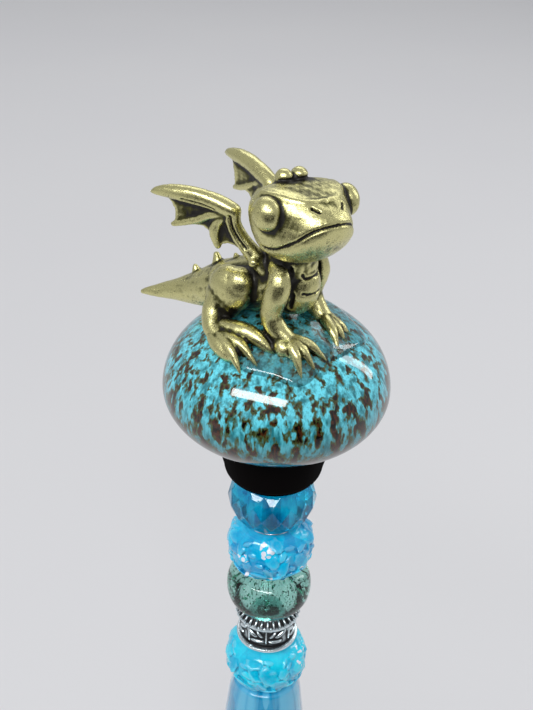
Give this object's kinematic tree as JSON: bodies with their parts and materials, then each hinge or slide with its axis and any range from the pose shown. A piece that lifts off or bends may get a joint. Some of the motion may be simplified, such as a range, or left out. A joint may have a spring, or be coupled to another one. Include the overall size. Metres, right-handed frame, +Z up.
{
  "type": "magic wand",
  "caption": "Hand-strung wand: cast baby dragon on a glazed ceramic knob, glass and resin beads that spin on a steel rod, a streaked glass handle and a screw-off crystal point.",
  "frame": {"origin": "middle of the glass handle, on the wand's axis", "axes": "+Z up the wand's axis, from the crystal point to the dragon; -Y is the side towards which the dragon looks"},
  "size_m": [0.0361, 0.0326, 0.265],
  "materials": {
    "antique_brass": "cast and polished, black patina in the recesses",
    "clear_epoxy": "clear gloss",
    "glazed_ceramic": "gloss reactive glaze, turquoise with brown flecks over a dark neck",
    "brass": "turned",
    "steel": "bright drawn",
    "blue_glass": "clear, cut facets",
    "azure_resin": "pearly chips in clear resin",
    "turquoise_resin": "pearly chips in clear resin",
    "plated_core": "bright silver plate",
    "glitter_glass": "clear with green glitter inside",
    "antique_silver": "cast, blackened in the recesses",
    "streaked_glass": "opaque gloss glass with pale streaks",
    "clear_crystal": "clear, cut faces"
  },
  "bodies": {
    "wand": {"dragon_figure": "antique_brass", "glue_pool": "clear_epoxy", "ceramic_knob": "glazed_ceramic", "knob_insert": "brass", "core_rod": "steel", "glass_handle": "streaked_glass"},
    "faceted_upper": {"faceted_bead_upper": "blue_glass"},
    "chip_upper": {"chip_bead_upper": "azure_resin", "chip_core_upper": "plated_core"},
    "glitter_upper": {"glitter_bead_upper": "glitter_glass", "glitter_core_upper": "plated_core"},
    "silver_upper": {"silver_spacer_upper": "antique_silver"},
    "chip_lower": {"chip_bead_lower": "turquoise_resin", "chip_core_lower": "plated_core"},
    "silver_tail": {"silver_spacer_tail": "antique_silver"},
    "glitter_tail": {"glitter_bead_tail": "glitter_glass", "glitter_core_tail": "plated_core"},
    "chip_tail": {"chip_bead_tail": "azure_resin", "chip_core_tail": "plated_core"},
    "faceted_tail": {"faceted_bead_tail": "blue_glass"},
    "washer": {"end_washer": "steel"},
    "point": {"point_cap": "antique_silver", "crystal_point": "clear_crystal"}
  },
  "joints": [
    {"name": "faceted_upper_spin", "type": "hinge", "parent": "wand", "child": "faceted_upper", "pos_m": [0, 0, 0.0879], "axis": [0, 0, 1], "continuous": true},
    {"name": "chip_upper_spin", "type": "hinge", "parent": "wand", "child": "chip_upper", "pos_m": [0, 0, 0.07865], "axis": [0, 0, 1], "continuous": true},
    {"name": "glitter_upper_spin", "type": "hinge", "parent": "wand", "child": "glitter_upper", "pos_m": [0, 0, 0.06945], "axis": [0, 0, 1], "continuous": true},
    {"name": "silver_upper_spin", "type": "hinge", "parent": "wand", "child": "silver_upper", "pos_m": [0, 0, 0.06125], "axis": [0, 0, 1], "continuous": true},
    {"name": "chip_lower_spin", "type": "hinge", "parent": "wand", "child": "chip_lower", "pos_m": [0, 0, 0.0528], "axis": [0, 0, 1], "continuous": true},
    {"name": "silver_tail_spin", "type": "hinge", "parent": "wand", "child": "silver_tail", "pos_m": [0, 0, -0.0518], "axis": [0, 0, 1], "continuous": true},
    {"name": "glitter_tail_spin", "type": "hinge", "parent": "wand", "child": "glitter_tail", "pos_m": [0, 0, -0.06], "axis": [0, 0, 1], "continuous": true},
    {"name": "chip_tail_spin", "type": "hinge", "parent": "wand", "child": "chip_tail", "pos_m": [0, 0, -0.0692], "axis": [0, 0, 1], "continuous": true},
    {"name": "faceted_tail_spin", "type": "hinge", "parent": "wand", "child": "faceted_tail", "pos_m": [0, 0, -0.07845], "axis": [0, 0, 1], "continuous": true},
    {"name": "washer_drop", "type": "slide", "parent": "wand", "child": "washer", "axis": [0, 0, -1], "range_m": [0, 0.0049]},
    {"name": "point_unscrew", "type": "hinge", "parent": "washer", "child": "point", "pos_m": [0, 0, -0.0982], "axis": [0, 0, -1], "range_deg": [0, 2520]}
  ],
  "couplings": [
    {"joint": "washer_drop", "follows": "point_unscrew", "m_per_rad": 0.0001114}
  ]
}
